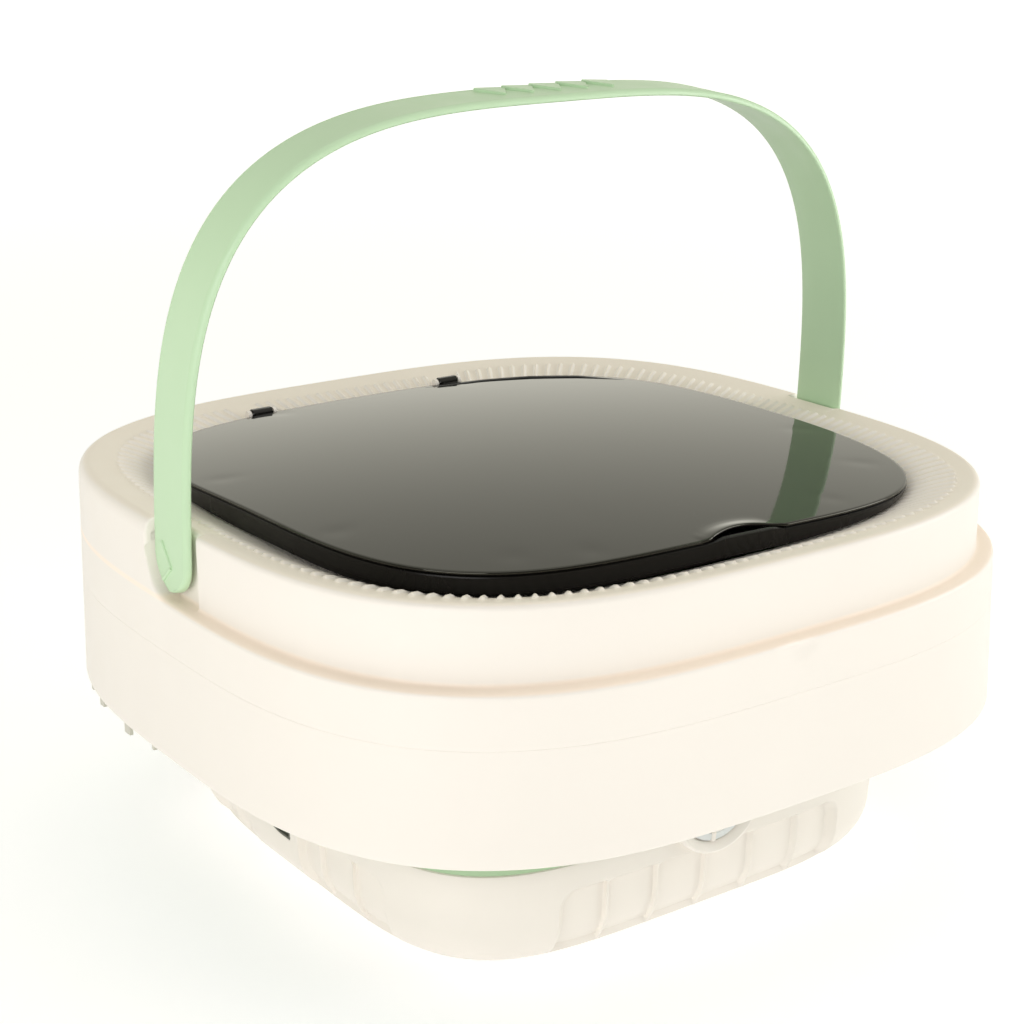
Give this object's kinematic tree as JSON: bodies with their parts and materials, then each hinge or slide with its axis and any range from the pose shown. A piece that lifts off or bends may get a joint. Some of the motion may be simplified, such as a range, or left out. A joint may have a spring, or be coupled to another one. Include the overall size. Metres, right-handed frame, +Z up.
{
  "type": "collapsible mini washing machine",
  "caption": "Square-rounded collapsible washing tub on a small motor base, folded flat, with a hinged dark lid and a tall folding carry strap.",
  "frame": {"origin": "on the surface it stands on, under the middle of the body", "axes": "+Z up; the front, with the lid notch and the power button, faces -Y; the lid hinge is at +Y; the drain port faces -X"},
  "size_m": [0.3734, 0.3734, 0.3473],
  "materials": {
    "cream_plastic": "fine satin moulding",
    "green_plastic": "satin, soft pastel green",
    "green_rubber": "soft matt elastomer",
    "black_plastic": "glossy black",
    "smoked_window": "smoked, near black, polished",
    "black_rubber": "matt",
    "white_plastic": "satin",
    "steel": "zinc plated",
    "bronze": "sintered, oiled",
    "circuit_board": "solder mask",
    "lead_sheath": "matt cable sheath"
  },
  "bodies": {
    "base": {"base_housing": "cream_plastic", "service_cover": "cream_plastic", "cover_screw_1": "steel", "cover_screw_2": "steel", "cover_screw_3": "steel", "cover_screw_4": "steel", "foot_front_left": "black_rubber", "foot_front_right": "black_rubber", "foot_back_left": "black_rubber", "foot_back_right": "black_rubber", "drum_floor": "white_plastic", "bucket_lower_ring": "white_plastic", "folding_bucket": "green_rubber", "control_boss": "cream_plastic", "light_ring": "white_plastic", "power_inlet": "black_plastic", "port_housing": "black_plastic", "drain_pipe": "white_plastic", "motor": "steel", "motor_bracket": "steel", "bracket_post_1": "white_plastic", "bracket_post_2": "white_plastic", "drive_belt": "black_rubber", "shaft_bush": "bronze", "shaft_seal": "black_rubber", "control_board": "circuit_board", "board_post_1": "white_plastic", "board_post_2": "white_plastic", "motor_lead": "lead_sheath", "inlet_lead": "lead_sheath"},
    "upper": {"top_cover": "cream_plastic", "lower_skirt": "cream_plastic", "mouth_ring": "cream_plastic", "bucket_upper_ring": "white_plastic", "carrying_ring": "white_plastic", "hinge_bracket_left": "cream_plastic", "hinge_bracket_right": "cream_plastic", "hinge_pin_left": "cream_plastic", "hinge_pin_right": "cream_plastic"},
    "strap": {"carry_strap": "green_plastic", "strap_pin_left": "green_plastic", "strap_pin_right": "green_plastic", "pin_washer_left": "steel", "pin_washer_right": "steel"},
    "lid": {"lid_frame": "black_plastic", "lid_window": "smoked_window", "lid_seal": "black_rubber", "lid_clip_left": "black_plastic", "lid_clip_right": "black_plastic"},
    "button": {"power_button": "cream_plastic"},
    "plug": {"drain_plug": "black_rubber"},
    "stirrer": {"pulsator": "white_plastic", "pulsator_cap": "white_plastic", "pulsator_shaft": "steel", "drive_pulley": "white_plastic"},
    "rotor": {"motor_shaft": "steel", "motor_pulley": "white_plastic"}
  },
  "joints": [
    {"name": "shell_lift", "type": "slide", "parent": "base", "child": "upper", "axis": [0, 0, 1], "range_m": [0, 0.118], "deforming": ["folding_bucket"]},
    {"name": "strap_fold", "type": "hinge", "parent": "upper", "child": "strap", "pos_m": [0, -0.0022, 0.16505], "axis": [1, 0, 0], "range_deg": [-3, 86]},
    {"name": "lid_hinge", "type": "hinge", "parent": "upper", "child": "lid", "pos_m": [0, 0.151, 0.1756], "axis": [-1, 0, 0], "range_deg": [0, 30]},
    {"name": "button_press", "type": "slide", "parent": "base", "child": "button", "axis": [0, 1, 0], "range_m": [0, 0.001], "stiffness_N_per_m": 600},
    {"name": "plug_pull", "type": "slide", "parent": "base", "child": "plug", "axis": [-1, 0, 0], "range_m": [0, 0.02]},
    {"name": "pulsator_spin", "type": "hinge", "parent": "base", "child": "stirrer", "pos_m": [0, 0, 0.06], "axis": [0, 0, 1], "continuous": true},
    {"name": "motor_spin", "type": "hinge", "parent": "base", "child": "rotor", "pos_m": [0.062, 0, 0.037], "axis": [0, 0, 1], "continuous": true}
  ],
  "couplings": [
    {"joint": "motor_spin", "follows": "pulsator_spin", "ratio": 4}
  ]
}
